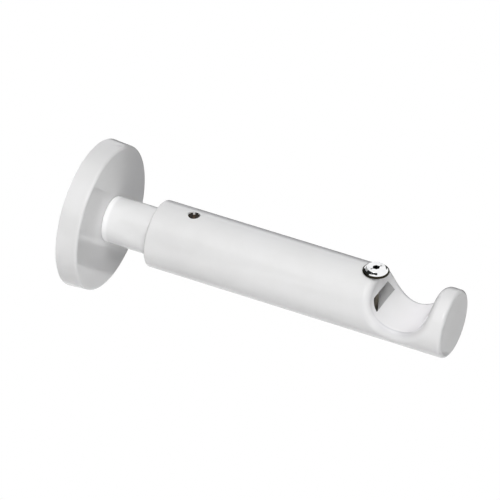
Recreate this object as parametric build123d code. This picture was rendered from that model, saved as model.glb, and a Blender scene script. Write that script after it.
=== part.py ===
from build123d import *
import os

# Curtain pole bracket, in millimetres. The wall is the plane Y = 0 and the arm runs out towards -Y.
# The pole lies along X in a seat that opens upwards, to +Z. The origin is the middle of the wall face.
# A distance called "out" is measured from the wall.

# Wall rose
rose_diameter = 50.8  # at the wall
rose_depth = 7.4
rose_taper = 0.5  # the rim narrows by this much towards the room, on the radius
rose_edge_round = 1.0
rose_wall = 2.5
rose_inner_round = 0.8

# Telescopic rod and arm
rod_diameter = 16.0
rod_rear_round = 0.9
rod_front_chamfer = 1.0
arm_diameter = 23.0
arm_rear_out = 25.0  # the arm's rear end at the setting shown
arm_length = 106.4
arm_front_round = 1.2
arm_rear_round = 0.7
bore_chamfer = 0.5
closed_gap = 0.5  # between arm and rose when the arm is pushed right in
rod_end_gap = 1.0  # between the rod's tip and the bore's end when the arm is pushed right in

# Pole seat
pole_diameter = 20.0
pole_clearance = 0.25
pole_height = 7.8  # the seat's axis above the arm's axis
seat_lip = 6.1  # wall in front of the seat
seat_rim_round = 2.4
seat_web = 0.15  # between the seat and the pole screw's hole

# Cored pocket between the rod's bore and the seat
pocket_step = 0.8  # the pocket is this much smaller than the rod, on the radius
pocket_roof = 4.8  # flat roof above the arm's axis, with the pole screw's thread in the metal over it
pocket_reach = 7.8  # the pocket ends this far behind the pole's axis
bore_web = 3.9  # from the bore's end to the pole screw's hole

# Pole screw
pole_screw_diameter = 3.0
pole_head_diameter = 8.8
pole_head_height = 1.65
pole_head_top_round = 1.1
pole_head_under_round = 0.3
pole_socket = 2.0  # across flats
pole_socket_depth = 1.1
pole_tip_chamfer = 0.4
spot_face_depth = 0.25
spot_face_margin = 0.15
pole_head_gap = 0.05
pole_tip_gap = 2.2  # from the screw's tip to the pocket's floor

# Length set screw
set_screw_diameter = 4.0
set_screw_from_rear = 12.7
set_screw_recess = 0.15
set_screw_slot = 0.8
set_screw_slot_depth = 0.9
set_screw_turn = 26.0  # degrees, the slot's direction from X
set_screw_chamfer = 0.5
set_tip_gap = 0.1

# Fixing plate behind the rose
plate_sheet = 1.5
plate_bend = 0.6  # inside radius of the upturned edge
plate_clearance = 0.3
plate_edge_gap = 0.5  # from the plate's edge to the rose's front wall
plate_hole_diameter = 16.0
plate_slot_width = 4.6
plate_slot_length = 8.0

# Grub screw that holds the rose on the plate
grub_diameter = 4.0
grub_out = 2.8
grub_recess = 0.5
grub_chamfer = 0.5
grub_socket = 2.0
grub_socket_depth = 1.2
grub_tip_gap = 0.1

# Screw and washer that hold the rod on the rose
rod_screw_diameter = 6.0
rod_screw_head_diameter = 10.0
rod_screw_reach = 12.5  # into the rod
rod_screw_socket = 4.0
rod_screw_chamfer = 0.8
rod_screw_head_chamfer = 0.4
rod_screw_head_height = 2.6
tapped_extra = 2.5  # depth of the rod's hole past the screw's tip
washer_thickness = 1.0
washer_diameter = 11.8
washer_split = 1.0

# Fits, all on the radius
sliding_fit = 0.05
thread_fit = 0.03
hole_fit = 0.2

# Sizes that follow from those above
rose_radius = rose_diameter / 2
rose_front_radius = rose_radius - rose_taper
rose_inner_radius = rose_front_radius - rose_wall
rose_cavity = rose_depth - rose_wall
rod_radius = rod_diameter / 2
bore_radius = rod_radius + sliding_fit
arm_radius = arm_diameter / 2
arm_front_out = arm_rear_out + arm_length
seat_radius = pole_diameter / 2 + pole_clearance
pole_out = arm_front_out - seat_lip - seat_radius
pole_hole_radius = pole_screw_diameter / 2 + thread_fit
pole_screw_out = pole_out - seat_radius - seat_web - pole_hole_radius
pocket_radius = rod_radius - pocket_step
pocket_end_out = pole_out - pocket_reach
bore_end_out = pole_screw_out - pole_hole_radius - bore_web
push_in = arm_rear_out - rose_depth - closed_gap
rod_front_out = bore_end_out - push_in - rod_end_gap
spot_face_height = arm_radius - spot_face_depth
set_screw_out = arm_rear_out + set_screw_from_rear
plate_radius = rose_inner_radius - plate_clearance
plate_flat_radius = plate_radius - plate_sheet
plate_depth = rose_cavity - plate_edge_gap
plate_slot_centre = (plate_hole_diameter / 2 + plate_flat_radius) / 2
rod_screw_head_out = rose_cavity - washer_thickness
rod_screw_back_out = rod_screw_head_out - rod_screw_head_height
rod_screw_tip_out = rose_depth + rod_screw_reach

wall = Plane.XZ  # its normal points away from the wall


def turned(*outline):
    # solid of revolution about the arm's axis, from pairs of radius and distance out
    points = [(radius, -out) for radius, out in outline]
    return revolve(make_face(Polyline(*points, close=True)), Axis.Y)


def along(radius, start, end):
    # round bar on the arm's axis between two distances out
    return extrude(wall.offset(start) * Circle(radius), end - start)


def upright(radius, bottom, top, out):
    # round bar standing on end at a distance out
    base = Plane((0, -out, bottom))
    return extrude(base * Circle(radius), top - bottom)


def rim(solid, out, radius):
    # round edge of the solid at a distance out, of about that radius
    at = [e for e in solid.edges().filter_by(GeomType.CIRCLE) if abs(e.center().Y + out) < 0.01]
    return min(at, key=lambda e: abs(e.radius - radius))


def ring(solid, height, radius):
    # round edge of an upright solid at a height, of about that radius
    at = [e for e in solid.edges().filter_by(GeomType.CIRCLE) if abs(e.center().Z - height) < 0.01]
    return min(at, key=lambda e: abs(e.radius - radius))


def hexagon(across):
    return RegularPolygon(across / 2, 6, major_radius=False)


# Fixing plate: a shallow pressed pan, open to the room, with two slots for the wall screws
plate = along(plate_radius, 0, plate_depth) - along(plate_flat_radius, plate_sheet, plate_depth)
plate = fillet(rim(plate, plate_sheet, plate_flat_radius), plate_bend)
plate = fillet(rim(plate, 0, plate_radius), plate_bend + plate_sheet / 2)
plate -= along(plate_hole_diameter / 2, 0, plate_sheet)
for side in (-1, 1):
    slot = Pos(side * plate_slot_centre, 0) * SlotOverall(plate_slot_length, plate_slot_width)
    plate -= extrude(wall * slot, plate_sheet)

# Wall rose: a cup, open to the wall
rose = turned((0, 0), (rose_radius, 0), (rose_front_radius, rose_depth), (0, rose_depth))
rose = fillet(rim(rose, rose_depth, rose_front_radius), rose_edge_round)
cavity = along(rose_inner_radius, 0, rose_cavity)
cavity = fillet(rim(cavity, rose_cavity, rose_inner_radius), rose_inner_round)
rose -= cavity
rose -= along(rod_screw_diameter / 2 + hole_fit, 0, rose_depth)
rose -= upright(grub_diameter / 2 + thread_fit, -rose_radius, 0, grub_out)

# Grub screw: upright in the underside of the rose's rim, its tip towards the plate
grub_top = -plate_radius - grub_tip_gap
grub_bottom = -rose_front_radius + grub_recess
grub = upright(grub_diameter / 2, grub_bottom, grub_top, grub_out)
grub = chamfer(ring(grub, grub_top, grub_diameter / 2), grub_chamfer)
grub -= extrude(Plane((0, -grub_out, grub_bottom)) * hexagon(grub_socket), grub_socket_depth)

# Washer: a split ring between the rose and the screw's head
washer = along(washer_diameter / 2, rod_screw_head_out, rose_cavity)
washer -= along(rod_screw_diameter / 2 + hole_fit, rod_screw_head_out, rose_cavity)
split = Pos(0, washer_diameter / 2) * Rectangle(washer_split, washer_diameter)
washer -= extrude(wall.offset(rod_screw_head_out) * split, washer_thickness)

# Rod screw: a low head inside the rose, its shank through the rose into the rod
rod_screw_head = along(rod_screw_head_diameter / 2, rod_screw_back_out, rod_screw_head_out)
rod_screw_head = chamfer(
    rim(rod_screw_head, rod_screw_back_out, rod_screw_head_diameter / 2), rod_screw_head_chamfer
)
shank = along(rod_screw_diameter / 2, rod_screw_head_out, rod_screw_tip_out)
shank = chamfer(rim(shank, rod_screw_tip_out, rod_screw_diameter / 2), rod_screw_chamfer)
rod_screw = rod_screw_head + shank
rod_socket_depth = rod_screw_head_height * 0.65
rod_screw -= extrude(wall.offset(rod_screw_back_out) * hexagon(rod_screw_socket), rod_socket_depth)

# Inner rod: a round bar that butts on the rose, with a tapped hole in its rear end
rod = along(rod_radius, rose_depth, rod_front_out)
rod = fillet(rim(rod, rose_depth, rod_radius), rod_rear_round)
rod = chamfer(rim(rod, rod_front_out, rod_radius), rod_front_chamfer)
rod -= along(rod_screw_diameter / 2 + thread_fit, rose_depth, rod_screw_tip_out + tapped_extra)

# Arm: a round bar with rounded ends and a seat cut across it, the seat's rim rounded all the way
arm = along(arm_radius, arm_rear_out, arm_front_out)
arm = fillet(rim(arm, arm_front_out, arm_radius), arm_front_round)
arm = fillet(rim(arm, arm_rear_out, arm_radius), arm_rear_round)
seat_plane = Plane((-arm_diameter, -pole_out, pole_height), z_dir=(1, 0, 0))
seat = extrude(seat_plane * Circle(seat_radius), 2 * arm_diameter)
bar = arm
arm = bar - seat
arm = fillet(new_edges(bar, seat, combined=arm), seat_rim_round)

# Bore for the rod, with the cored pocket in front of it
arm -= along(bore_radius, arm_rear_out, bore_end_out)
arm = chamfer(rim(arm, arm_rear_out, bore_radius), bore_chamfer)
above_roof = Pos(0, pocket_roof + pocket_radius) * Rectangle(2 * pocket_radius, 2 * pocket_radius)
pocket = Circle(pocket_radius) - above_roof
arm -= extrude(wall.offset(bore_end_out) * pocket, pocket_end_out - bore_end_out)

# Holes in the top of the arm
arm -= upright(set_screw_diameter / 2 + thread_fit, rod_radius / 2, arm_diameter, set_screw_out)
arm -= upright(pole_hole_radius, pocket_roof / 2, arm_diameter, pole_screw_out)
spot_radius = pole_head_diameter / 2 + spot_face_margin
arm -= upright(spot_radius, spot_face_height, arm_diameter, pole_screw_out)

# Set screw: slotted, over the rod
set_bottom = rod_radius + set_tip_gap
set_top = arm_radius - set_screw_recess
set_screw = upright(set_screw_diameter / 2, set_bottom, set_top, set_screw_out)
set_screw = chamfer(ring(set_screw, set_bottom, set_screw_diameter / 2), set_screw_chamfer)
slot_plane = Plane((0, -set_screw_out, set_top)).rotated((0, 0, set_screw_turn))
slot_cut = slot_plane * Rectangle(2 * set_screw_diameter, set_screw_slot)
set_screw -= extrude(slot_cut, -set_screw_slot_depth)

# Pole screw: a round flat head with rounded edges, its shank down through the pocket
head_bottom = spot_face_height + pole_head_gap
head_top = head_bottom + pole_head_height
tip = pole_tip_gap - pocket_radius
head = upright(pole_head_diameter / 2, head_bottom, head_top, pole_screw_out)
head = fillet(ring(head, head_top, pole_head_diameter / 2), pole_head_top_round)
head = fillet(ring(head, head_bottom, pole_head_diameter / 2), pole_head_under_round)
shank = upright(pole_screw_diameter / 2, tip, head_bottom, pole_screw_out)
shank = chamfer(ring(shank, tip, pole_screw_diameter / 2), pole_tip_chamfer)
pole_screw = head + shank
socket_plane = Plane((0, -pole_screw_out, head_top))
pole_screw -= extrude(socket_plane * hexagon(pole_socket), -pole_socket_depth)

pieces = {
    "mounting_plate": plate,
    "wall_rose": rose,
    "rose_grub_screw": grub,
    "lock_washer": washer,
    "rod_screw": rod_screw,
    "inner_rod": rod,
    "arm": arm,
    "length_set_screw": set_screw,
    "pole_screw": pole_screw,
}

os.makedirs("parts", exist_ok=True)
for name, piece in pieces.items():
    solid = piece.solids()[0]
    print(name, round(solid.volume, 1), len(piece.solids()), solid.is_valid)
    export_step(solid, f"parts/{name}.step")
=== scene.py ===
import math

import bmesh
import bpy
from mathutils import Matrix, Vector


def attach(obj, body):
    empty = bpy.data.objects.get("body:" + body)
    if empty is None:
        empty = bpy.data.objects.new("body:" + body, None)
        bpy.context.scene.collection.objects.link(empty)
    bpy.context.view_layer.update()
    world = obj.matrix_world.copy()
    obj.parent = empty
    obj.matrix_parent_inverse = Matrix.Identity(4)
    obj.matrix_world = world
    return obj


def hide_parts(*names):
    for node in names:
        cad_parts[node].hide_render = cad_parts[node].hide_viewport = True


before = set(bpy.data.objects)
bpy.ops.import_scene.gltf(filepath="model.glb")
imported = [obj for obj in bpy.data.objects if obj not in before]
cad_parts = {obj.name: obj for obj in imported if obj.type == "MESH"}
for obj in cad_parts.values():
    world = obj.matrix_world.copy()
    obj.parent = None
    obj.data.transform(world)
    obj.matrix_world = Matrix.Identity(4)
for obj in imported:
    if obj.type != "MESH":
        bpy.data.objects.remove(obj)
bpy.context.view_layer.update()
print("frame loaded:", ", ".join(sorted(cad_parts)))

mm = 0.001
xAxis, yAxis, zAxis = 0, 1, 2
samePlace = 1e-6     # points nearer than this are one point
nearlyFlat = 0.95     # least part of a level face's normal along Z
hexSides = 6
smoothAngle = math.radians(32)
lyingTurn = (-math.pi / 2, 0, 0)     # upright to lying, head to the wall

# screws' places along Y, and lines to measure from: two axes and where the line crosses them
poleScrewOut, setScrewOut, grubOut = -0.10312, -0.0377, -0.0028
armLine = ((xAxis, zAxis), (0, 0))
seatLine = ((yAxis, zAxis), (-0.11505, 0.0078))
poleScrewLine = ((xAxis, yAxis), (0, poleScrewOut))
setScrewLine = ((xAxis, yAxis), (0, setScrewOut))
grubLine = ((xAxis, yAxis), (0, grubOut))


# selection and mode helpers

def freshStart():
    if bpy.context.mode != "OBJECT":
        bpy.ops.object.mode_set(mode="OBJECT")
    bpy.ops.object.select_all(action="DESELECT")


def makeActive(piece):
    freshStart()
    piece.select_set(True)
    bpy.context.view_layer.objects.active = piece


def editOn(piece):
    makeActive(piece)
    bpy.ops.object.mode_set(mode="EDIT")


def pick(piece, kind, test):
    bpy.ops.mesh.select_mode(type=kind)
    bpy.ops.mesh.select_all(action="DESELECT")
    mesh = bmesh.from_edit_mesh(piece.data)
    for part in {"VERT": mesh.verts, "EDGE": mesh.edges, "FACE": mesh.faces}[kind]:
        if test(part):
            part.select_set(True)
    mesh.select_flush_mode()
    bmesh.update_edit_mesh(piece.data)


def offAxis(vert):
    return math.hypot(vert.co.x, vert.co.y)


def level(edge, height):
    return all(abs(vert.co.z - height) < samePlace for vert in edge.verts)


def mergeDoubles():
    bpy.ops.mesh.select_all(action="SELECT")
    bpy.ops.mesh.remove_doubles(threshold=samePlace)


def faceOutwards():
    bpy.ops.mesh.select_all(action="SELECT")
    bpy.ops.mesh.normals_make_consistent(inside=False)


def pullOut(height):
    bpy.ops.mesh.extrude_region_move(TRANSFORM_OT_translate={"value": (0, 0, height)})


def widen(factor, middle=(0, 0, 0)):
    bpy.ops.transform.resize(value=(factor, factor, 1), center_override=middle)


# place, turn and scale of the active object go into its mesh
def settle():
    bpy.ops.object.transform_apply(location=True, rotation=True, scale=True)


def cutWith(piece, tool, how):
    makeActive(piece)
    cut = piece.modifiers.new("cut", "BOOLEAN")
    cut.operation = how
    cut.solver = "EXACT"
    cut.object = tool
    bpy.ops.object.modifier_apply(modifier=cut.name)
    bpy.data.objects.remove(tool)
    editOn(piece)
    mergeDoubles()     # slivers that the cut leaves
    bpy.ops.mesh.dissolve_degenerate(threshold=samePlace)
    freshStart()


def joinPieces(name, *pieces):
    freshStart()
    for piece in pieces:
        piece.select_set(True)
    bpy.context.view_layer.objects.active = pieces[0]
    if len(pieces) > 1:
        bpy.ops.object.join()
    pieces[0].name = name
    pieces[0].data.name = name
    return pieces[0]


def setDown(piece, place=(0, 0, 0), turn=(0, 0, 0)):
    makeActive(piece)
    piece.location = place
    piece.rotation_euler = turn
    settle()
    bpy.ops.object.shade_smooth_by_angle(angle=smoothAngle)


def takeOver(piece, node, body, material):
    piece.data.materials.clear()
    piece.data.materials.append(material)
    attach(piece, body)
    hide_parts(node)


# material helpers

noiseLow, noiseMiddle, noiseHigh = 0.3, 0.5, 0.7     # most of a noise lies between low and high
lessThan, moreThan = "LESS_THAN", "GREATER_THAN"
firstColour, secondColour, colourOut = 6, 7, 2     # the Mix node's sockets for colours


def newMaterial(name):
    material = bpy.data.materials.new(name)
    material.use_nodes = True
    tree = material.node_tree
    return material, tree, tree.nodes["Principled BSDF"]


def addNode(tree, kind, inputs=None, **values):
    node = tree.nodes.new(kind)
    for key, value in values.items():
        setattr(node, key, value)
    for key, value in (inputs or {}).items():
        if isinstance(value, bpy.types.NodeSocket):
            tree.links.new(value, node.inputs[key])
        else:
            node.inputs[key].default_value = value
    return node


def objectCoords(tree):
    return addNode(tree, "ShaderNodeTexCoord").outputs["Object"]


def splitOf(tree, coords):
    return addNode(tree, "ShaderNodeSeparateXYZ", {0: coords}).outputs


def noiseOf(tree, coords, scale, detail, stretch=None):
    if stretch:
        coords = addNode(tree, "ShaderNodeMapping", {"Vector": coords, "Scale": stretch}).outputs[0]
    inputs = {"Vector": coords, "Scale": scale, "Detail": detail}
    return addNode(tree, "ShaderNodeTexNoise", inputs).outputs["Fac"]


def rampOf(tree, value, *stops):
    node = addNode(tree, "ShaderNodeValToRGB", {"Fac": value})
    points = node.color_ramp.elements
    while len(points) < len(stops):
        points.new(noiseMiddle)
    for point, (place, colour) in zip(points, stops):
        point.position = place
        point.color = (*colour, 1)
    return node.outputs["Color"]


def twoTone(tree, noise, dark, pale):
    return rampOf(tree, noise, (noiseLow, dark), (noiseHigh, pale))


# low to high as the value goes from start to end
def fade(tree, value, start, end, low=0, high=1, kind="LINEAR"):
    inputs = {"Value": value, "From Min": start, "From Max": end, "To Min": low, "To Max": high}
    return addNode(tree, "ShaderNodeMapRange", inputs, interpolation_type=kind).outputs["Result"]


def spread(tree, noise, low, high):
    return fade(tree, noise, noiseLow, noiseHigh, low, high)


def mathOf(tree, operation, *values):
    inputs = dict(enumerate(values))
    return addNode(tree, "ShaderNodeMath", inputs, operation=operation).outputs[0]


# all the values together, two at a time
def chain(tree, operation, values):
    result, *others = values
    for value in others:
        result = mathOf(tree, operation, result, value)
    return result


def bumpOf(tree, height, distance):
    inputs = {"Height": height, "Strength": 1, "Distance": distance}
    return addNode(tree, "ShaderNodeBump", inputs).outputs[0]


def mixColours(tree, factor, first, second):
    mix = addNode(tree, "ShaderNodeMix", {"Factor": factor}, data_type="RGBA")
    for place, colour in ((firstColour, first), (secondColour, second)):
        if isinstance(colour, bpy.types.NodeSocket):
            tree.links.new(colour, mix.inputs[place])
        else:
            mix.inputs[place].default_value = (*colour, 1)
    return mix.outputs[colourOut]


def mixValues(tree, factor, first, second):
    inputs = {"Factor": factor, "A": first, "B": second}
    return addNode(tree, "ShaderNodeMix", inputs).outputs[0]


def offLine(tree, coords, line):
    split = splitOf(tree, coords)
    gaps = [mathOf(tree, "SUBTRACT", split[axis], at) for axis, at in zip(*line)]
    squares = [mathOf(tree, "MULTIPLY", gap, gap) for gap in gaps]
    return mathOf(tree, "SQRT", mathOf(tree, "ADD", *squares))


# 1 where every test holds; a test is on an axis or on the distance from a line
def inside(tree, coords, *tests):
    split = splitOf(tree, coords)
    results = []
    for where, way, limit in tests:
        value = offLine(tree, coords, where) if isinstance(where, tuple) else split[where]
        results.append(mathOf(tree, way, value, limit))
    return chain(tree, "MULTIPLY", results)


# 1 at a distance from the arm's axis, 0 a little nearer or further
def ringBand(tree, coords, radius, width):
    across = mathOf(tree, "SUBTRACT", offLine(tree, coords, armLine), radius)
    return fade(tree, mathOf(tree, "ABSOLUTE", across), width, 0)


# gloss white powder coat on turned metal
paintLook = {
    "shade": (0.795, 0.795, 0.795), "middle": (0.825, 0.825, 0.825), "light": (0.84, 0.84, 0.845),
    "cloudScale": 55, "cloudDetail": 4,
    "roughness": (0.02, 0.045), "smearScale": 140, "smearDetail": 2,
    "peelScale": 900, "peelDetail": 1, "peelHeight": 0.0000012,     # orange peel, a millimetre across
    "bare": (0.44, 0.45, 0.47), "bareDark": (0.3, 0.305, 0.32),
    "bareRoughness": 0.5, "bareMetal": 0.25,
    "latheMarks": (60, 4000, 60), "latheDetail": 2,     # rings round the bore
}

# no paint in the bores and the screw holes
bareZones = {
    "arm": [
        [(armLine, lessThan, 0.00815), (yAxis, moreThan, -0.085)],     # bore
        [(poleScrewLine, lessThan, 0.0016), (zAxis, moreThan, 0.0047)],     # pole screw's hole
    ],
    "wall_rose": [[(grubLine, lessThan, 0.00208), (zAxis, lessThan, -0.0218)]],     # grub screw's hole
    "inner_rod": [[(armLine, lessThan, 0.00312), (yAxis, moreThan, -0.0225)]],     # tapped end
}

# arm's seat: painted light in the bowl, painted shade on the rim and along its inner edge
seatLook = {
    "bowlLight": (0.965, 0.95, 0.965), "bowlLightLower": (0.93, 0.915, 0.93),     # painted light: the seat is lighter, as if lit by light bounced in the bowl
    "bowlLightRadius": 0.01035, "bowlLightEnds": (-0.1055, -0.122),
    "rim": (0.73, 0.725, 0.745), "rimShadeRadius": 0.0102, "rimShadeWidth": 0.0013,     # painted shade: a darker band on the rolled rim
    "rimShadeReach": (0.0126, 0.0108),
    "creaseShade": (0.66, 0.66, 0.685), "creaseShadeRadius": 0.0092, "creaseShadeWidth": 0.0005,     # painted shade: a grey line along the rim's inner edge
    "creaseShadeReach": 0.0106, "creaseShadeLeast": 0.35,
    "lowMiddle": -0.1145, "lowSpan": (0.0085, 0.004),     # both are strongest low in the seat
}


# painted light and shade in the arm's seat: lighter bowl, darker rim band, grey line at the rim's
# inner edge
def seatPaintedLightAndShade(tree, coords, cloud, colour):
    look = seatLook
    along = splitOf(tree, coords)[yAxis]
    fromSeat = offLine(tree, coords, seatLine)
    # painted light: the bowl is lighter, as if lit by light bounced in it
    bowlLight = chain(tree, "MULTIPLY", [
        mathOf(tree, lessThan, fromSeat, look["bowlLightRadius"]),
        fade(tree, along, *look["bowlLightEnds"]),
    ])
    colour = mixColours(tree, bowlLight, colour, twoTone(tree, cloud, look["bowlLightLower"], look["bowlLight"]))
    fromLow = mathOf(tree, "ABSOLUTE", mathOf(tree, "SUBTRACT", along, look["lowMiddle"]))
    low = fade(tree, fromLow, *look["lowSpan"])
    # painted shade: a darker band on the rolled rim, strongest low in the seat
    rim = chain(tree, "MULTIPLY", [
        fade(tree, fromSeat, *look["rimShadeReach"]),
        ringBand(tree, coords, look["rimShadeRadius"], look["rimShadeWidth"]),
        low,
    ])
    colour = mixColours(tree, rim, colour, look["rim"])
    # painted shade: a grey line along the rim's inner edge
    creaseShade = chain(tree, "MULTIPLY", [
        ringBand(tree, coords, look["creaseShadeRadius"], look["creaseShadeWidth"]),
        mathOf(tree, lessThan, fromSeat, look["creaseShadeReach"]),
        mathOf(tree, "MAXIMUM", low, look["creaseShadeLeast"]),
    ])
    return mixColours(tree, creaseShade, colour, look["creaseShade"])


# rod's foot: painted highlight, a lighter band where its rounded end meets the rose
footLook = {
    "footHighlight": (0.965, 0.965, 0.97), "footHighlightLower": (0.93, 0.93, 0.935), "ends": (-0.0099, -0.0091),
}


def rodFootHighlight(tree, coords, cloud, colour):
    # painted highlight: the rod is lighter at its foot
    foot = fade(tree, splitOf(tree, coords)[yAxis], *footLook["ends"])
    bright = twoTone(tree, cloud, footLook["footHighlightLower"], footLook["footHighlight"])
    return mixColours(tree, foot, colour, bright)


def makePaint(name, zones, wear):
    look = paintLook
    material, tree, shader = newMaterial(name)
    coords = objectCoords(tree)
    cloud = noiseOf(tree, coords, look["cloudScale"], look["cloudDetail"])
    smear = noiseOf(tree, coords, look["smearScale"], look["smearDetail"])
    peel = noiseOf(tree, coords, look["peelScale"], look["peelDetail"])
    lathe = noiseOf(tree, coords, 1, look["latheDetail"], look["latheMarks"])
    tones = zip((noiseLow, noiseMiddle, noiseHigh), (look["shade"], look["middle"], look["light"]))
    colour = rampOf(tree, cloud, *tones)
    if wear:
        colour = wear(tree, coords, cloud, colour)
    metal = chain(tree, "MAXIMUM", [inside(tree, coords, *zone) for zone in zones])
    colour = mixColours(tree, metal, colour, twoTone(tree, lathe, look["bareDark"], look["bare"]))
    rough = mixValues(tree, metal, spread(tree, smear, *look["roughness"]), look["bareRoughness"])
    tree.links.new(colour, shader.inputs["Base Color"])
    tree.links.new(mathOf(tree, "MULTIPLY", metal, look["bareMetal"]), shader.inputs["Metallic"])
    tree.links.new(rough, shader.inputs["Roughness"])
    tree.links.new(bumpOf(tree, peel, look["peelHeight"]), shader.inputs["Normal"])
    return material


for node, wear in (("arm", seatPaintedLightAndShade), ("wall_rose", None), ("inner_rod", rodFootHighlight)):
    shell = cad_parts[node].data
    shell.materials.clear()
    shell.materials.append(makePaint(node + "Paint", bareZones[node], wear))
print("paint on the arm, the rose and the rod")


# metals of the fastenings
chromeLook = {
    "scale": 300, "colours": ((0.3, (0.87, 0.88, 0.89)), (0.7, (0.94, 0.94, 0.94))),
    "roughness": (0.02, 0.05), "bump": 0.0000003, "metallic": 1,
    "socketRadius": 0.00125, "socketTop": 0.01292,
    "shankTop": 0.01197, "shank": (0.17, 0.155, 0.125), "shankDark": (0.08, 0.072, 0.057),
    "shankRoughness": 0.42,
    # painted shade: near black above this height, in the socket and under the head
    "paintedShadowFloor": 0.0105, "edge": (0.03, 0.026, 0.016),
}
zincLook = {
    "scale": 420,
    "colours": ((0.25, (0.42, 0.43, 0.45)), (0.5, (0.56, 0.57, 0.58)), (0.75, (0.66, 0.655, 0.63))),
    "roughness": (0.24, 0.4), "bump": 0.000003, "metallic": 1,
}
# set screw's brass, coloured near black
brassLook = {
    "scale": 700,
    "colours": (
        (0.3, (0.010, 0.009, 0.007)), (0.55, (0.022, 0.017, 0.011)), (0.75, (0.07, 0.045, 0.022)),
    ),
    "roughness": (0.35, 0.55), "bump": 0.000004, "metallic": 0.85,
    "slotFloor": 0.01075, "slotColour": (0.08, 0.05, 0.03),
    # painted light: pale towards the slot's ends
    "slotEndLight": (0.95, 0.92, 0.86), "slotEndLightReach": (0.0012, 0.0017),
}
grainDetail, smearDetail = 4, 2
smearShare, fineShare = 0.37, 3     # scales of the smears and of the finest marks, against the grain's


# thread coloured dark olive; the socket and the thread's top near the head near black: painted shade
# in the socket and painted shadow under the head
def darkShankAndSocket(tree, coords, look, colour, rough):
    grain = noiseOf(tree, coords, look["scale"], grainDetail)
    shank = inside(tree, coords, (zAxis, lessThan, look["shankTop"]))
    socket = inside(
        tree, coords,
        (poleScrewLine, lessThan, look["socketRadius"]), (zAxis, lessThan, look["socketTop"]))
    below = mathOf(tree, "MAXIMUM", shank, socket)
    # painted shade in the socket, painted shadow on the thread under the head
    edge = inside(tree, coords, (zAxis, moreThan, look["paintedShadowFloor"]))
    shankAndSocketColour = mixColours(tree, edge, twoTone(tree, grain, look["shankDark"], look["shank"]), look["edge"])
    colour = mixColours(tree, below, colour, shankAndSocketColour)
    return colour, mixValues(tree, below, rough, look["shankRoughness"])


# brown at the bottom of the slot, pale towards its ends: painted light from the lit hole wall seen
# through the slot
def slotWithPaintedLight(tree, coords, look, colour, rough):
    inSlot = inside(tree, coords, (zAxis, lessThan, look["slotFloor"]))
    # painted light: the slot's bottom turns pale towards its ends
    slotEndLight = fade(tree, offLine(tree, coords, setScrewLine), *look["slotEndLightReach"])
    bottom = mixColours(tree, slotEndLight, look["slotColour"], look["slotEndLight"])
    return mixColours(tree, inSlot, colour, bottom), rough


def makeMetal(name, look, wear=None):
    material, tree, shader = newMaterial(name)
    coords = objectCoords(tree)
    grain = noiseOf(tree, coords, look["scale"], grainDetail)
    smear = noiseOf(tree, coords, look["scale"] * smearShare, smearDetail)
    fine = noiseOf(tree, coords, look["scale"] * fineShare, smearDetail)
    colour = rampOf(tree, grain, *look["colours"])
    rough = spread(tree, smear, *look["roughness"])
    if wear:
        colour, rough = wear(tree, coords, look, colour, rough)
    tree.links.new(colour, shader.inputs["Base Color"])
    tree.links.new(rough, shader.inputs["Roughness"])
    tree.links.new(bumpOf(tree, fine, look["bump"]), shader.inputs["Normal"])
    shader.inputs["Metallic"].default_value = look["metallic"]
    return material


chrome = makeMetal("polishedChrome", chromeLook, darkShankAndSocket)
zinc = makeMetal("zincPlate", zincLook)
brass = makeMetal("nearBlackBrass", brassLook, slotWithPaintedLight)
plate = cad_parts["mounting_plate"].data
plate.materials.clear()
plate.materials.append(zinc)
print("metals ready")


# screw thread: one V wound up, cut to length, both ends filled
# crestFlat is the bevel on the crest as part of the pitch
threadMake = {"steps": 48, "crestFlat": 0.07, "spareTurns": 2, "cutGap": 1e-8}


def makeThread(name, look, low, high):
    radius, pitch, depth = (look[key] * mm for key in ("radius", "pitch", "threadDepth"))
    root = radius - depth
    freshStart()
    bpy.ops.mesh.primitive_circle_add(vertices=4, radius=1, rotation=(math.pi / 2, 0, 0))
    thread = bpy.context.object
    thread.name = name
    thread.scale = (depth, pitch / 2, 1)
    thread.location = (root, 0, 0)
    settle()
    editOn(thread)
    pick(thread, "VERT", lambda vert: vert.co.x < root - depth / 2)     # diamond to V
    bpy.ops.mesh.delete(type="VERT")
    pick(thread, "VERT", lambda vert: vert.co.x > root + depth / 2)     # crest
    bpy.ops.mesh.bevel(offset=pitch * threadMake["crestFlat"], affect="VERTICES")
    makeActive(thread)
    wind = thread.modifiers.new("wind", "SCREW")
    wind.axis = "Z"
    wind.angle = math.tau
    wind.screw_offset = pitch
    wind.iterations = math.ceil((high - low) / pitch) + threadMake["spareTurns"]
    wind.steps = threadMake["steps"]
    wind.render_steps = threadMake["steps"]
    bpy.ops.object.modifier_apply(modifier=wind.name)
    thread.location.z = low - pitch
    settle()
    editOn(thread)
    mergeDoubles()
    for height, way in ((high, 1), (low, -1)):
        bpy.ops.mesh.select_all(action="SELECT")
        bpy.ops.mesh.bisect(
            plane_co=(0, 0, height), plane_no=(0, 0, way),
            use_fill=True, clear_outer=True, threshold=threadMake["cutGap"])
    faceOutwards()
    freshStart()
    return thread


# rings of a turned head from its flat top down: distance from the axis and height
def roundedRings(radius, low, high, topRound, underRound, turnStep=15):
    top, under = [], []
    for turn in range(0, 91, turnStep):     # quarter of a circle, in degrees
        sine, cosine = math.sin(math.radians(turn)), math.cos(math.radians(turn))
        top.append((radius - topRound + topRound * sine, high - topRound + topRound * cosine))
        under.append((radius - underRound + underRound * cosine, low + underRound - underRound * sine))
    return top + under


# radius to a socket's corners, from its width across the flats
def hexCorner(look):
    return look["hexWidth"] * mm / math.sqrt(3)


# round head drawn out ring by ring, top bridged to a hexagon, socket let down from it
headMake = {"sides": 96, "drillPoint": 0.12}     # point's depth as part of the socket's width


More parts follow.
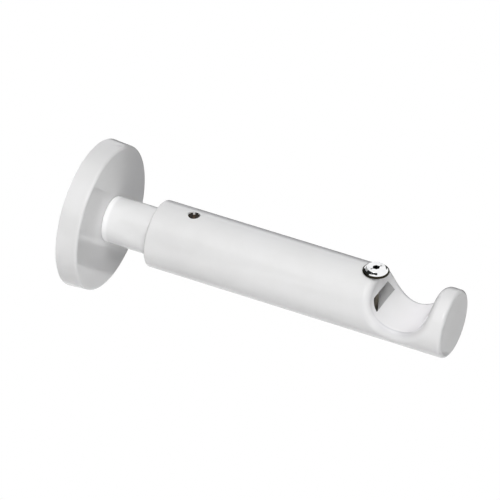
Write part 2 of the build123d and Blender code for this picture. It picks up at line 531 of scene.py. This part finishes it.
def makeHead(look):
    rings, sides = look["rings"], headMake["sides"]
    high, low = rings[0][1] * mm, rings[-1][1] * mm
    corner = hexCorner(look)
    mouth = corner + look["hexRound"] * mm
    freshStart()
    bpy.ops.mesh.primitive_circle_add(vertices=sides, radius=rings[0][0] * mm, location=(0, 0, high))
    head = bpy.context.object
    settle()
    editOn(head)
    pick(head, "EDGE", lambda edge: True)
    for (reach, height), (nextReach, nextHeight) in zip(rings, rings[1:]):
        pullOut((nextHeight - height) * mm)
        widen(nextReach / reach)
    bpy.ops.mesh.edge_face_add()
    if look["fluteDepth"]:
        step = math.tau / sides
        pick(head, "VERT", lambda vert: round(math.atan2(vert.co.y, vert.co.x) / step) % 2 == 0)
        widen(1 - look["fluteDepth"] / max(reach for reach, height in rings))
    bpy.ops.mesh.primitive_circle_add(
        vertices=hexSides, radius=mouth,
        location=(0, 0, high), rotation=(0, 0, math.radians(look["hexTurn"])))
    bpy.ops.mesh.subdivide(number_cuts=sides // hexSides - 1)     # as many points as the head
    pick(head, "EDGE", lambda edge: level(edge, high))
    bpy.ops.mesh.bridge_edge_loops()
    nearMouth = mouth * 1.01     # just past the hexagon's corners
    pick(head, "EDGE", lambda edge: (
        level(edge, high) and all(offAxis(vert) < nearMouth for vert in edge.verts)))
    pullOut(-look["hexRound"] * mm)
    widen(corner / mouth)     # socket's chamfer
    pullOut((look["hexRound"] - look["hexDepth"]) * mm)
    bpy.ops.mesh.edge_face_add()
    faceOutwards()
    pick(head, "FACE", lambda face: (     # socket's floor
        len(face.verts) == sides and face.calc_center_median().z > low + samePlace))
    bpy.ops.mesh.poke(offset=-look["hexWidth"] * headMake["drillPoint"] * mm)
    freshStart()
    return head


# top of a shank, a little way up inside its head
def shankTop(look):
    return (look["rings"][-1][1] + look["overlap"]) * mm


# pole screw: chrome disc head over a fine thread
poleScrew = {
    "place": (0, poleScrewOut, 0),
    "rings": [
        (3.0, 12.95), (3.06, 12.94), (3.11, 12.9), (3.14, 12.85), (3.44, 12.25),
        (3.47, 12.2), (3.54, 12.15), (4.1, 11.88), (4.25, 11.8), (4.35, 11.72),
        (4.39, 11.64), (4.4, 11.55), (4.4, 11.42), (4.37, 11.36), (4.3, 11.3),
    ],
    "hexWidth": 2.0, "hexDepth": 1.1, "hexRound": 0.06, "hexTurn": -3.75, "fluteDepth": 0,
    "radius": 1.5, "pitch": 0.5, "threadDepth": 0.26, "overlap": 0.2,
    "tip": -5.0, "point": 0.45, "pointTaper": 0.72,
}


def makePoleScrew(look):
    head = makeHead(look)
    tip, foot = look["tip"] * mm, (look["tip"] + look["point"]) * mm
    shank = makeThread("shank", look, foot, shankTop(look))
    editOn(shank)
    pick(shank, "FACE", lambda face: (     # thread's lower end
        face.normal.z < -nearlyFlat and abs(face.calc_center_median().z - foot) < samePlace))
    pullOut(-look["point"] * mm)
    widen(look["pointTaper"], (0, 0, tip))
    screw = joinPieces("poleScrew", head, shank)
    setDown(screw, look["place"])
    return screw


takeOver(makePoleScrew(poleScrew), "pole_screw", "pole_screw", chrome)
print("pole screw done")


# screw without a head: thread that runs out in a chamfer at both ends
blankMake = {"sides": 64, "spare": 1.001}     # a hair wider than the thread


def makeHeadless(name, look):
    low, high = look["low"] * mm, look["high"] * mm
    thread = makeThread(name, look, low, high)
    bpy.ops.mesh.primitive_cylinder_add(
        vertices=blankMake["sides"], radius=look["radius"] * mm * blankMake["spare"],
        depth=high - low, location=(0, 0, (low + high) / 2))
    blank = bpy.context.object
    settle()
    editOn(blank)
    pick(blank, "EDGE", lambda edge: level(edge, low) or level(edge, high))
    bpy.ops.mesh.bevel(offset=look["chamfer"] * mm, segments=1, affect="EDGES")
    cutWith(thread, blank, "INTERSECT")
    return thread


# set screw that fixes the length: slotted
setScrew = {
    "place": (0, setScrewOut, 0), "low": 8.1, "high": 11.35,
    "radius": 2.0, "pitch": 0.7, "threadDepth": 0.36, "chamfer": 0.3,
    "slotWidth": 0.8, "slotDepth": 0.7, "slotTurn": 26, "bladeLength": 6.0,
}


def makeSetScrew(look):
    screw = makeHeadless("lengthSetScrew", look)
    bpy.ops.mesh.primitive_cube_add(
        size=1, location=(0, 0, look["high"] * mm), rotation=(0, 0, math.radians(look["slotTurn"])))
    blade = bpy.context.object
    blade.scale = (look["bladeLength"] * mm, look["slotWidth"] * mm, look["slotDepth"] * mm * 2)
    settle()     # lower half of the blade cuts
    cutWith(screw, blade, "DIFFERENCE")
    setDown(screw, look["place"])
    return screw


takeOver(makeSetScrew(setScrew), "length_set_screw", "length_set_screw", brass)
print("set screw done")


# grub screw under the rose, hexagon socket facing down
roseGrub = {
    "place": (0, grubOut, 0), "low": -24.4, "high": -22.2,
    "radius": 2.0, "pitch": 0.7, "threadDepth": 0.36, "chamfer": 0.25,
    "hexWidth": 2.0, "hexDepth": 1.2,
}


def makeGrub(look):
    screw = makeHeadless("roseGrubScrew", look)
    bpy.ops.mesh.primitive_cylinder_add(
        vertices=hexSides, radius=hexCorner(look),
        depth=look["hexDepth"] * 2 * mm, location=(0, 0, look["low"] * mm))     # half of it cuts
    key = bpy.context.object
    settle()
    cutWith(screw, key, "DIFFERENCE")
    setDown(screw, look["place"])
    return screw


takeOver(makeGrub(roseGrub), "rose_grub_screw", "rose_grub_screw", zinc)
print("grub screw done")


# cap screw that ties the rod to the rose, seen from the wall side
rodScrew = {
    "rings": roundedRings(radius=5.0, low=-3.9, high=-1.3, topRound=0.35, underRound=0.15),
    "hexWidth": 4.0, "hexDepth": 1.69, "hexRound": 0.12, "hexTurn": 0, "fluteDepth": 0.14,
    "radius": 3.0, "pitch": 1.0, "threadDepth": 0.52, "overlap": 0.3, "tip": -19.9,
}


def makeRodScrew(look):
    head = makeHead(look)
    shank = makeThread("shank", look, look["tip"] * mm, shankTop(look))
    screw = joinPieces("rodScrew", head, shank)
    setDown(screw, turn=lyingTurn)
    return screw


takeOver(makeRodScrew(rodScrew), "rod_screw", "wall_mount", zinc)
print("rod screw done")


# split spring washer: slanted section spun most of the way round
springWasher = {
    "inner": 3.2, "outer": 5.9, "near": 3.9, "far": 4.9, "gap": 1.0, "slant": 0.35, "steps": 72,
    "edge": 0.12, "edgeSegments": 2, "edgeAngle": 40,
}


def makeWasher(look):
    inner, outer, near, far = (look[key] * mm for key in ("inner", "outer", "near", "far"))
    middle, height = (inner + outer) / 2, -(near + far) / 2
    freshStart()
    bpy.ops.mesh.primitive_plane_add(
        size=1, rotation=(math.pi / 2, 0, 0), location=(middle, 0, height))
    washer = bpy.context.object
    washer.scale = (outer - inner, far - near, 1)
    settle()
    editOn(washer)
    pick(washer, "VERT", lambda vert: vert.co.z > height)
    bpy.ops.transform.translate(value=(0, look["slant"] * mm, 0))
    bpy.ops.mesh.select_all(action="SELECT")
    gap = look["gap"] * mm / middle     # as an angle
    turn = (math.pi - gap) / 2
    bpy.ops.transform.rotate(value=turn, orient_axis="Z", center_override=(0, 0, 0))
    bpy.ops.mesh.spin(steps=look["steps"], angle=math.tau - gap, center=(0, 0, 0), axis=(0, 0, 1))
    mergeDoubles()
    faceOutwards()
    makeActive(washer)
    soften = washer.modifiers.new("soften", "BEVEL")
    soften.width = look["edge"] * mm
    soften.segments = look["edgeSegments"]
    soften.limit_method = "ANGLE"
    soften.angle_limit = math.radians(look["edgeAngle"])
    bpy.ops.object.modifier_apply(modifier=soften.name)
    washer = joinPieces("springWasher", washer)
    setDown(washer, turn=lyingTurn)
    return washer


takeOver(makeWasher(springWasher), "lock_washer", "wall_mount", zinc)
print("spring washer done")


# camera at the photograph's viewing angle
cameraSetup = {
    "azimuth": -65.47, "elevation": 35.15, "roll": 2.47,
    "target": (0, -0.0575, 0.00299), "distance": 1.3064,
    "lens": 287.95, "sensor": 36, "shift": (0.00488, 0.0061), "clipEnd": 20,
}


def makeCamera(setup):
    a, e, r = (math.radians(setup[key]) for key in ("azimuth", "elevation", "roll"))
    back = Vector((math.sin(a) * math.cos(e), -math.cos(a) * math.cos(e), math.sin(e)))
    flat = Vector((math.cos(a), math.sin(a), 0))
    plumb = back.cross(flat)
    right = flat * math.cos(r) + plumb * math.sin(r)
    up = back.cross(right)
    place = Vector(setup["target"]) + back * setup["distance"]
    freshStart()
    bpy.ops.object.camera_add()
    camera = bpy.context.object
    turn = Matrix((right, up, back)).transposed()
    camera.matrix_world = Matrix.Translation(place) @ turn.to_4x4()
    camera.data.lens = setup["lens"]
    camera.data.sensor_width = setup["sensor"]
    camera.data.shift_x, camera.data.shift_y = setup["shift"]
    camera.data.clip_end = setup["clipEnd"]
    bpy.context.scene.camera = camera


makeCamera(cameraSetup)
print("camera set")


# white for the eye and for reflections, plain pale stuff for the light that bounces
floorSetup = {"size": 6, "height": -0.32, "colour": (0.9, 0.9, 0.9), "roughness": 0.9}
worldSetup = {"colour": (1, 1, 1), "ambient": 0.02}
seenBy = ("Is Camera Ray", "Is Glossy Ray", "Is Transmission Ray")


def seenRays(tree):
    rays = addNode(tree, "ShaderNodeLightPath").outputs
    return chain(tree, "MAXIMUM", [rays[kind] for kind in seenBy])


def makeFloor(setup):
    freshStart()
    bpy.ops.mesh.primitive_plane_add(size=setup["size"], location=(0, 0, setup["height"]))
    floor = bpy.context.object
    floor.name = "floor"
    material, tree, shader = newMaterial("paleFloor")
    shader.inputs["Base Color"].default_value = (*setup["colour"], 1)
    shader.inputs["Roughness"].default_value = setup["roughness"]
    glow = addNode(tree, "ShaderNodeEmission")
    inputs = {0: seenRays(tree), 1: shader.outputs[0], 2: glow.outputs[0]}
    mix = addNode(tree, "ShaderNodeMixShader", inputs)
    tree.links.new(mix.outputs[0], tree.nodes["Material Output"].inputs[0])
    floor.data.materials.append(material)


def makeWorld(setup):
    world = bpy.data.worlds.new("studio")
    bpy.context.scene.world = world
    world.use_nodes = True
    tree = world.node_tree
    background = tree.nodes["Background"]
    background.inputs["Color"].default_value = (*setup["colour"], 1)
    strength = mathOf(tree, "MAXIMUM", seenRays(tree), setup["ambient"])
    tree.links.new(strength, background.inputs["Strength"])


# dark cards that only reflections meet: they give the gloss and the chrome their depth
# soft: share of the width, then of the height, over which each end runs out
cardEnds = (-0.5, 0.5)     # of a card before it is scaled
studioCards = {
    "rightCard": {
        "place": (0.35, -0.0355, -0.1265), "face": (-1, 0, 0), "size": (0.305, 0.353),
        "soft": ((0.004, 0.046), (0.01, 0.01)), "tones": (0.02, 1),
    },
    "rearRightCard": {
        "place": (0.352, 0.225, -0.1515), "face": (-1, 0, 0), "size": (0.35, 0.303),
        "soft": ((0.03, 0.03), (0.01, 0.4)), "tones": (0.02, 1),
    },
    "rightStrip": {
        "place": (0.349, -0.25, -0.295), "face": (-1, 0, 0), "size": (0.7, 0.016),
        "soft": ((0.01, 0.01), (0.1, 0.1)), "tones": (0.1, 1),
    },
    "leftCard": {
        "place": (-1.387, -0.2, 0.34), "face": (0.9, 0.42, 0), "size": (1.71, 1.32),
        "soft": ((0.05, 0.05), (0.2, 0.2)), "tones": (0.02, 1),
    },
    "rearCard": {
        "place": (-0.8, 0.8, 0.715), "face": (0, -1, 0), "size": (3.2, 2.07),
        "soft": ((0.04, 0.04), (0.08, 0.08)), "tones": (0.02, 1),
    },
}


def makeCard(name, setup):
    freshStart()
    bpy.ops.mesh.primitive_plane_add(size=1)
    card = bpy.context.object
    card.name = name
    card.scale = (*setup["size"], 1)
    card.rotation_euler = Vector(setup["face"]).to_track_quat("Z", "Y").to_euler()
    card.location = setup["place"]
    material, tree, shader = newMaterial(name)
    tree.nodes.remove(shader)
    split = splitOf(tree, objectCoords(tree))
    middle, rim = setup["tones"]
    tones = [middle]
    for axis, softEnds in enumerate(setup["soft"]):
        for edge, soft in zip(cardEnds, softEnds):
            start = edge * (1 - 2 * soft)
            tones.append(fade(tree, split[axis], start, edge, middle, rim, "SMOOTHSTEP"))
    glow = addNode(tree, "ShaderNodeEmission", {"Strength": chain(tree, "MAXIMUM", tones)})
    tree.links.new(glow.outputs[0], tree.nodes["Material Output"].inputs[0])
    card.data.materials.append(material)
    card.visible_camera = False
    card.visible_diffuse = False
    card.visible_shadow = False
    card.visible_transmission = False


# soft boxes: azimuth 0 stands out from the wall, 90 at the left end of the pole
lampTarget, lampDistance = Vector((0, -0.06, 0)), 0.9
white, warm, cool = (1, 1, 1), (1, 0.97, 0.95), (0.93, 0.92, 1)
studioLamps = {
    "keyBox": {"azimuth": 60, "elevation": 55, "size": 0.45, "power": 4.8},
    "leftTopBox": {"azimuth": 90, "elevation": 58, "size": 0.28, "power": 1.0, "inGloss": True},
    "leftBox": {"azimuth": 90, "elevation": 30, "size": 0.45, "power": 1.1},
    "lowLeftBox": {"azimuth": 60, "elevation": 10, "size": 0.45, "power": 0.6},
    "rearLeftBox": {"azimuth": 130, "elevation": 15, "size": 0.45, "power": 0.55, "colour": warm},
    "rearRightBox": {"azimuth": 240, "elevation": 10, "size": 0.45, "power": 2.7, "colour": cool},
    "frontRightBox": {"azimuth": 300, "elevation": 55, "size": 0.45, "power": 1.0},
    "lowFill": {"azimuth": 60, "elevation": -12, "size": 0.7, "power": 1.2},
}


def makeLamp(name, setup):
    a, e = math.radians(setup["azimuth"]), math.radians(setup["elevation"])
    way = Vector((-math.sin(a) * math.cos(e), -math.cos(a) * math.cos(e), math.sin(e)))
    freshStart()
    bpy.ops.object.light_add(type="AREA", location=lampTarget + way * lampDistance)
    lamp = bpy.context.object
    lamp.name = name
    lamp.data.size = setup["size"]
    lamp.data.energy = setup["power"]
    lamp.data.color = setup.get("colour", white)
    lamp.rotation_mode = "QUATERNION"
    lamp.rotation_quaternion = way.to_track_quat("Z", "Y")
    lamp.visible_glossy = setup.get("inGloss", False)


makeFloor(floorSetup)
makeWorld(worldSetup)
for name, setup in studioCards.items():
    makeCard(name, setup)
for name, setup in studioLamps.items():
    makeLamp(name, setup)
bpy.context.scene.view_settings.view_transform = "Standard"
print("studio set")
